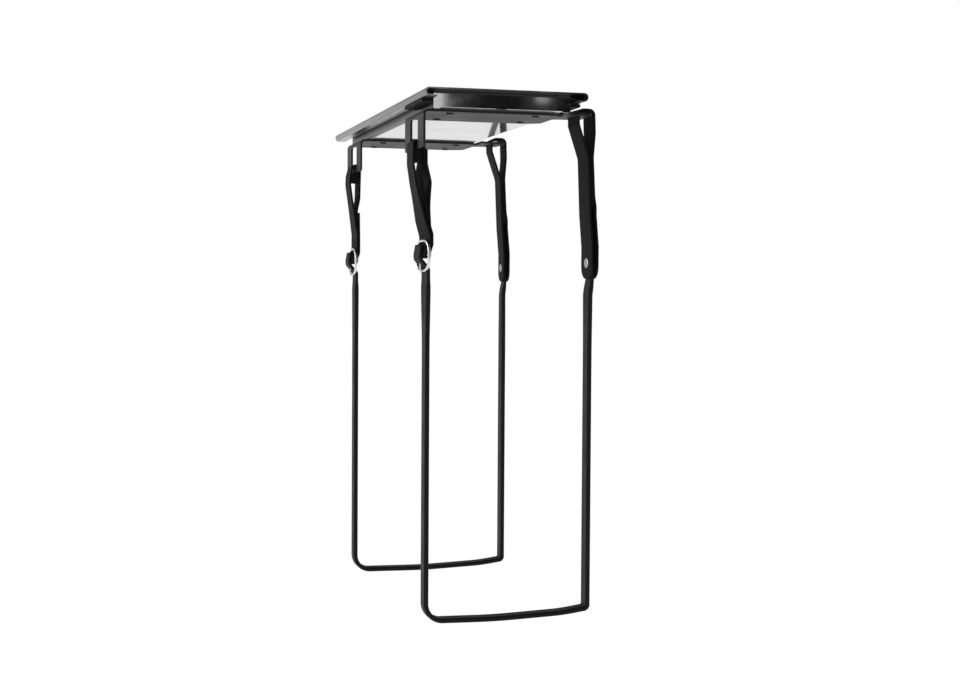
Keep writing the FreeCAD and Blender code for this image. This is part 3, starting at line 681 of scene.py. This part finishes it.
def stitches(place, y, path):
    """Thread over the outer face of a left strap: two rows of short lengths across it.

    Each length is half an ellipsoid: across cos(u) cos(v), out sin(v) and up sin(u) cos(v).
    """
    line, _ = smooth_path(path, WEB_STEP * MM)
    side = side_of(line)
    outer = line[:, 0] < (LEGS[place][1] - 8) * MM
    upper = np.flatnonzero(outer & (line[:, 1] > -0.09) & (line[:, 1] < -0.06))
    half_web = bpy.context.scene.holder_sizes.web_thick / 2
    u, v = np.meshgrid(np.linspace(0, 2 * math.pi, 8, endpoint=False), np.linspace(-0.3, 1.35, 4))
    grain_u, grain_v, height = np.cos(u) * np.cos(v), np.sin(u) * np.cos(v), np.sin(v)
    points, faces = [], []
    for level in STITCH_ROWS:
        index = upper[np.argmin(np.abs(line[upper, 1] - level * MM))]
        normal = side[index] if side[index][0] < 0 else -side[index]
        base = line[index] + normal * half_web
        for across in np.linspace(-STITCH_SPREAD, STITCH_SPREAD, STITCHES) * MM:
            start = sum(len(block) for block in points)
            points.append(np.stack([
                base[0] + normal[0] * height * STITCH_OUT * MM, y + across + grain_u * STITCH_HALF * MM,
                base[1] + grain_v * STITCH_TALL * MM,
            ], -1).reshape(-1, 3))
            faces += [[start + corner for corner in face] for face in lofted_faces(4, 8)]
    piece = new_piece(place + "_stitches", np.concatenate(points), faces)
    outward(piece)
    dress(piece, "thread")


def band_swell(line):
    """How much thicker the band is than in its fixings: 1 down to the clamps, then eased to FREE_SWELL."""
    below = np.clip((-line[:, 1] / MM - CLAMP_BOTTOM) / SWELL_RUN, 0, 1)
    return 1 + (FREE_SWELL - 1) * (3 * below ** 2 - 2 * below ** 3)


class HOLDER_OT_bands(bpy.types.Operator):
    """The U-shaped bands that carry the computer"""
    bl_idname = "holder.bands"
    bl_label = "Bands"

    def execute(self, context):
        sizes = context.scene.holder_sizes
        out = levels()["belt_out"]
        clamp, right = CLAMP_X / MM, LEG_RIGHT
        low_bend = -(BUCKLE_BOTTOM - 2.3)
        pinch, lean = -(RIVET_LEVEL - PINCH_RISE), clamp - CLAMP_LEAN
        section = flat_section(sizes.band_width, sizes.band_thick, sizes.band_thick * 0.3)
        for place, (y, leg) in LEGS.items():
            path = np.array([
                (lean, -CLAMP_TOP, 0), (lean, -(CLAMP_TOP + LEAN_RUN), 30), (clamp, pinch, 30),
                (clamp, -(CLAMP_BOTTOM - 0.5), 20), (right, -(CLAMP_BOTTOM + 18), 20),
                (right, -(BAND_DROP - BAND_SAG), 4.5), (right * 0.76, -(BAND_DROP - BAND_SAG * 0.4), 250),
                (right * 0.1, -(BAND_DROP + 0.7), 800), (leg, -(BAND_DROP - 0.5), 20),
                (leg, low_bend, 6), (leg - out, low_bend + out * 1.065, 6),
                (leg - out, -(BUCKLE_MIDDLE - 1), 6), (leg - out + 2, -(BUCKLE_TOP + 4.9), 0),
            ]) * MM
            piece = strip_piece(place + "_sling_band", path, y, section, BAND_STEP * MM, swell=band_swell)
            swing_right(piece, place)
            swing_left(piece, place)
            dress(piece, "band_polymer", nodes=[place + "_band"])
        return {"FINISHED"}


class HOLDER_OT_buckles(bpy.types.Operator):
    """Plated wire buckle frames with their centre bars, and the prongs"""
    bl_idname = "holder.buckles"
    bl_label = "Buckles"

    def execute(self, context):
        sizes = context.scene.holder_sizes
        at = levels()
        wire = sizes.wire
        for place, (y, leg) in LEGS.items():
            plane = (leg - at["wire_side"]) * MM
            reach = (BUCKLE_INSIDE * MM + wire) / 2
            top, low, bar = -BUCKLE_TOP * MM, -BUCKLE_BOTTOM * MM, -BUCKLE_MIDDLE * MM
            corner = BUCKLE_CORNER * MM
            loop = [(y, top, 0), (y + reach, top, corner), (y + reach, low, corner),
                    (y - reach, low, corner), (y - reach, top, corner), (y, top, 0)]
            line, _ = smooth_path(loop, 1.5 * MM, 0.12)
            line = line[:-1]
            along = np.roll(line, -1, 0) - np.roll(line, 1, 0)
            along /= np.linalg.norm(along, axis=1, keepdims=True)
            centre = np.stack([np.full(len(line), plane), line[:, 0], line[:, 1]], 1)
            normal = np.stack([np.zeros(len(line)), -along[:, 1], along[:, 0]], 1)
            across = np.tile([1.0, 0, 0], (len(line), 1))
            rings = tube_points(centre, normal, across, (wire / 2, wire / 2))
            faces = grid_faces(len(line), rings.shape[1], True).reshape(-1, 4).tolist()
            frame_piece = new_piece(place + "_buckle_loop", rings.reshape(-1, 3), faces)
            outward(frame_piece)
            swing_left(frame_piece, place)
            dress(frame_piece, "nickel", nodes=[place + "_buckle_frame"])
            rod = BAR_D / 2 * MM
            bar_profile = [(0.0001 * MM, -reach), (rod, -reach), (rod, reach), (0.0001 * MM, reach)]
            bar_piece = turned(place + "_buckle_bar", bar_profile, (plane, y, bar), (0, 1, 0), 24)
            swing_left(bar_piece, place)
            dress(bar_piece, "nickel")
            pin = prong_piece(place + "_pin", plane, y, bar, low - wire / 2 - PRONG_PAST * MM)
            swing_left(pin, place)
            dress(pin, "nickel", place + "_prong", [place + "_prong"])
        return {"FINISHED"}


def prong_piece(name, plane, y, bar, tip):
    """A wire pin: a coil round the centre bar, then a straight arm that flattens at its tip.

    Centreline: an arc of radius PRONG_COIL about the bar, turning from the inner side over the top, then a
    straight run down the outer side. Thickness and width follow the distance to the tip.
    """
    coil = PRONG_COIL * MM
    turn = np.linspace(-0.6 * math.pi, math.pi, 22)
    arc = np.stack([plane + coil * np.cos(turn), np.zeros(len(turn)), bar + coil * np.sin(turn)], 1)
    run = np.linspace(0, 1, 16)[1:, None]
    foot = np.array([plane - coil, 0, tip])
    line = np.concatenate([arc, arc[-1] + (foot - arc[-1]) * run])
    line[:, 1] += y
    along = np.gradient(line, axis=0)
    along /= np.linalg.norm(along, axis=1, keepdims=True)
    across = np.tile([0.0, 1.0, 0.0], (len(line), 1))
    normal = np.cross(across, along)
    left = np.clip(np.linalg.norm(line - line[-1], axis=1) / (PRONG_TAPER * MM), 0, 1)
    rings = tube_points(line, normal, across, ((0.75 + 0.35 * left) * MM, (1.5 - 0.3 * left) * MM))
    piece = new_piece(name, rings.reshape(-1, 3), lofted_faces(len(line), rings.shape[1]))
    outward(piece)
    return piece


class HOLDER_OT_rivets(bpy.types.Operator):
    """Domed rivets through the straps"""
    bl_idname = "holder.rivets"
    bl_label = "Rivets"

    def execute(self, context):
        for place in LEGS:
            node = place + "_strap_rivet"
            low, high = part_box(node)
            radius, half = (high.z - low.z) / 2, (high.x - low.x) / 2
            dome, shank = RIVET_DOME * MM, RIVET_SHANK * MM
            turn = np.linspace(0, 1, 12) * math.pi / 2
            head = np.stack([radius * np.cos(turn), half - dome + dome * np.sin(turn)], 1)
            head[-1, 0] = 0.02 * MM
            neck = [(shank, -(half - dome)), (shank, half - dome)]
            profile = np.concatenate([head[::-1] * [1, -1], neck, head])
            piece = turned(place + "_sling_rivet", profile, middle(node), (1, 0, 0), 36)
            swing_right(piece, place)
            dress(piece, "nickel_in_painted_shade", nodes=[node])
        return {"FINISHED"}


def runner(name, node, side):
    """A rear glide, wholly inside the track: a C round the pan's flange, carried along the depth."""
    low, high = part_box(node)
    top = high.z / MM
    ring = np.array([
        (RUNNER_IN, top), (RUNNER_OUT, top), (RUNNER_OUT, RUNNER_LOW), (RUNNER_IN, RUNNER_LOW),
        (RUNNER_IN, FLANGE_LOW), (FLANGE_EDGE, FLANGE_LOW),
        (FLANGE_EDGE, FLANGE_HIGH), (RUNNER_IN, FLANGE_HIGH),
    ]) * MM
    depth = np.array([low.y, high.y])
    points = np.stack(np.broadcast_arrays(ring[None, :, 0] * side, depth[:, None], ring[None, :, 1]), -1)
    piece = new_piece(name, points.reshape(-1, 3), lofted_faces(2, len(ring)), smooth=False)
    outward(piece)
    bevel = piece.modifiers.new("eased_edges", "BEVEL")
    bevel.width, bevel.segments, bevel.limit_method = 0.35 * MM, 2, "ANGLE"
    return piece


def curl_plug(name, side):
    """A plastic plug in the front end of the track's rolled edge, outside the carriage's path.

    Outline: a half disc that fills the outer half of the curl's hollow. It is carried along the
    depth, and its front rim is eased: with depth(t) = ease * (1 - sin t) the outline is smaller by
    0.6 * ease * (1 - cos t).
    """
    hollow = ((CURL - 2 * SHEET) / 2 - PLUG_PLAY) * MM
    centre = np.array([TRACK_HIGH.x - CURL / 2 * MM, TRACK_HIGH.z - CURL / 2 * MM])
    turn = np.linspace(math.pi / 2, -math.pi / 2, 17)
    ring = centre + hollow * np.stack([np.cos(turn), np.sin(turn)], 1) + [0.25 * MM, 0]
    ring[:, 0] = np.minimum(ring[:, 0], TRACK_HIGH.x - (SHEET + PLUG_PLAY) * MM)
    heart = ring.mean(0)
    rim, ease = np.linspace(math.pi / 2, 0, 6), PLUG_EASE * MM
    front = TRACK_LOW.y + PLUG_SETBACK * MM
    depth = np.append(front + ease * (1 - np.sin(rim)), front + PLUG_LENGTH * MM)
    shrink = np.append(1 - ease / hollow * (1 - np.cos(rim)) * 0.6, 1.0)
    rows = heart + (ring[None] - heart) * shrink[:, None, None]
    points = np.stack([rows[..., 0] * side, np.broadcast_to(depth[:, None], rows.shape[:2]), rows[..., 1]], -1)
    piece = new_piece(name, points.reshape(-1, 3), lofted_faces(len(depth), len(ring)))
    outward(piece)
    return piece


class HOLDER_OT_metalwork(bpy.types.Operator):
    """Finishes of the track, carriage, hangers, glides and stops"""
    bl_idname = "holder.metalwork"
    bl_label = "Metalwork"

    def execute(self, context):
        paint("track", "painted_steel")
        for node in ("near_hanger", "far_hanger", "near_hanger_rivets", "far_hanger_rivets"):
            paint(node, "satin_steel")
        paint("carriage_pan", "gloss_paint")
        paint("front_fascia", "gloss_plastic")
        for node in ("front_left_glide", "front_right_glide"):
            paint(node, "slide_plastic")
        for node in ("front_limit_stops", "rear_limit_stops"):
            paint(node, "rubber")
        for name, side in (("rear_left", -1), ("rear_right", 1)):
            piece = runner(name + "_runner", name + "_glide", side)
            dress(piece, "slide_plastic", nodes=[name + "_glide"])
        for name, side in (("left_curl_plug", -1), ("right_curl_plug", 1)):
            piece = curl_plug(name, side)
            dress(piece, "slide_plastic", body="track")
        return {"FINISHED"}


def studio_world():
    """White surround that the camera sees. Its light fades towards the front and above."""
    world = bpy.data.worlds.new("studio")
    world.use_nodes = True
    nodes, links = world.node_tree.nodes, world.node_tree.links
    where = nodes.new("ShaderNodeTexCoord")
    split = nodes.new("ShaderNodeSeparateXYZ")
    links.new(where.outputs["Generated"], split.inputs[0])
    fade = nodes.new("ShaderNodeMapRange")
    fade.interpolation_type = "SMOOTHSTEP"
    for name, value in (("From Min", -0.75), ("From Max", 0.25), ("To Min", 0.06), ("To Max", 1.0)):
        fade.inputs[name].default_value = value
    links.new(split.outputs["Y"], fade.inputs["Value"])
    upper = nodes.new("ShaderNodeMapRange")
    upper.interpolation_type = "SMOOTHSTEP"
    for name, value in (("From Min", 0.05), ("From Max", 0.35), ("To Min", 1.0), ("To Max", 0.35)):
        upper.inputs[name].default_value = value
    links.new(split.outputs["Z"], upper.inputs["Value"])
    both = nodes.new("ShaderNodeMath")
    both.operation = "MULTIPLY"
    links.new(fade.outputs["Result"], both.inputs[0])
    links.new(upper.outputs["Result"], both.inputs[1])
    path = nodes.new("ShaderNodeLightPath")
    seen = nodes.new("ShaderNodeMath")
    seen.operation = "MAXIMUM"
    links.new(both.outputs[0], seen.inputs[0])
    links.new(path.outputs["Is Camera Ray"], seen.inputs[1])
    background = nodes["Background"]
    background.inputs["Color"].default_value = (1, 1, 1, 1)
    links.new(seen.outputs[0], background.inputs["Strength"])
    return world


# The stage, in metres and radians
FLOOR_DROP, FLOOR_HALF = 1.0, 60
CAMERA_PLACE, CAMERA_TURN = (-0.4926, -1.9482, -0.2257), (0.269, -0.033, 0.006)


class HOLDER_OT_stage(bpy.types.Operator):
    """Pale floor, soft studio light and the camera"""
    bl_idname = "holder.stage"
    bl_label = "Stage"

    def execute(self, context):
        scene = context.scene
        level, far = CAD_BOX[0].z - FLOOR_DROP, FLOOR_HALF
        corners = [(-far, -far, level), (far, -far, level), (far, far, level), (-far, far, level)]
        floor = new_piece("studio_floor", corners, [[0, 1, 2, 3]], smooth=False)
        material, _, shader = new_material("floor_white")
        shader.inputs["Base Color"].default_value = (0.3, 0.3, 0.3, 1)
        shader.inputs["Roughness"].default_value = 0.9
        shader.inputs["Emission Color"].default_value = (1, 1, 1, 1)
        shader.inputs["Emission Strength"].default_value = 0.92
        floor.data.materials.append(material)
        scene.world = studio_world()
        scene.view_settings.view_transform = "Standard"
        for name, place, aim, energy, size in (
            ("left_softbox", (-2.2, 0.6, 0.5), (0, 0, -0.25), 22, (1.4, 1.4)),
            ("front_softbox", (-1.3, -2.4, 0.9), (0, 0, -0.25), 5, (0.8, 0.8)),
            ("fascia_card", (0.51, -2.8, 0.31), (-0.07, -0.25, -0.01), 1.9, (0.12, 0.4)),
            ("small_card", (0.855, -2.8, 0.33), (0.04, -0.25, -0.01), 0.03, (0.035, 0.03)),
        ):
            light = bpy.data.lights.new(name, "AREA")
            light.energy, light.shape = energy, "RECTANGLE"
            light.size, light.size_y = size
            lamp = bpy.data.objects.new(name, light)
            lamp.location = place
            lamp.rotation_mode = "QUATERNION"
            lamp.rotation_quaternion = (Vector(aim) - Vector(place)).to_track_quat("-Z", "Y")
            scene.collection.objects.link(lamp)
        camera = bpy.data.objects.new("camera", bpy.data.cameras.new("camera"))
        camera.data.lens, camera.data.sensor_width = 60, 36
        camera.data.clip_start, camera.data.clip_end = 0.05, 200
        yaw, pitch, roll = CAMERA_TURN
        forward = Vector((math.sin(yaw) * math.cos(pitch), math.cos(yaw) * math.cos(pitch), math.sin(pitch)))
        right = Vector((math.cos(yaw), -math.sin(yaw), 0))
        up = right.cross(forward)
        turned_right = right * math.cos(roll) + up * math.sin(roll)
        turned_up = up * math.cos(roll) - right * math.sin(roll)
        turn = Matrix((turned_right, turned_up, -forward)).transposed().to_4x4()
        camera.matrix_world = Matrix.Translation(CAMERA_PLACE) @ turn
        scene.collection.objects.link(camera)
        scene.camera = camera
        return {"FINISHED"}


STEPS = (
    HOLDER_OT_metalwork, HOLDER_OT_right_straps, HOLDER_OT_left_straps, HOLDER_OT_bands,
    HOLDER_OT_buckles, HOLDER_OT_rivets, HOLDER_OT_stage,
)


class HOLDER_PT_panel(bpy.types.Panel):
    bl_label = "Sling holder"
    bl_idname = "HOLDER_PT_panel"
    bl_space_type = "VIEW_3D"
    bl_region_type = "UI"
    bl_category = "Holder"

    def draw(self, context):
        for group in (context.scene.holder_sizes, context.scene.holder_finishes):
            for name in group.__annotations__:
                self.layout.prop(group, name)
        for step in STEPS:
            self.layout.operator(step.bl_idname)


CLASSES = (HolderSizes, HolderFinishes) + STEPS + (HOLDER_PT_panel,)


def register():
    for item in CLASSES:
        bpy.utils.register_class(item)
    bpy.types.Scene.holder_sizes = bpy.props.PointerProperty(type=HolderSizes)
    bpy.types.Scene.holder_finishes = bpy.props.PointerProperty(type=HolderFinishes)


def unregister():
    del bpy.types.Scene.holder_finishes
    del bpy.types.Scene.holder_sizes
    for item in reversed(CLASSES):
        bpy.utils.unregister_class(item)


def main():
    """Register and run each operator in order."""
    register()
    for step in STEPS:
        group, name = step.bl_idname.split(".")
        getattr(getattr(bpy.ops, group), name)()


if __name__ == "__main__":
    main()
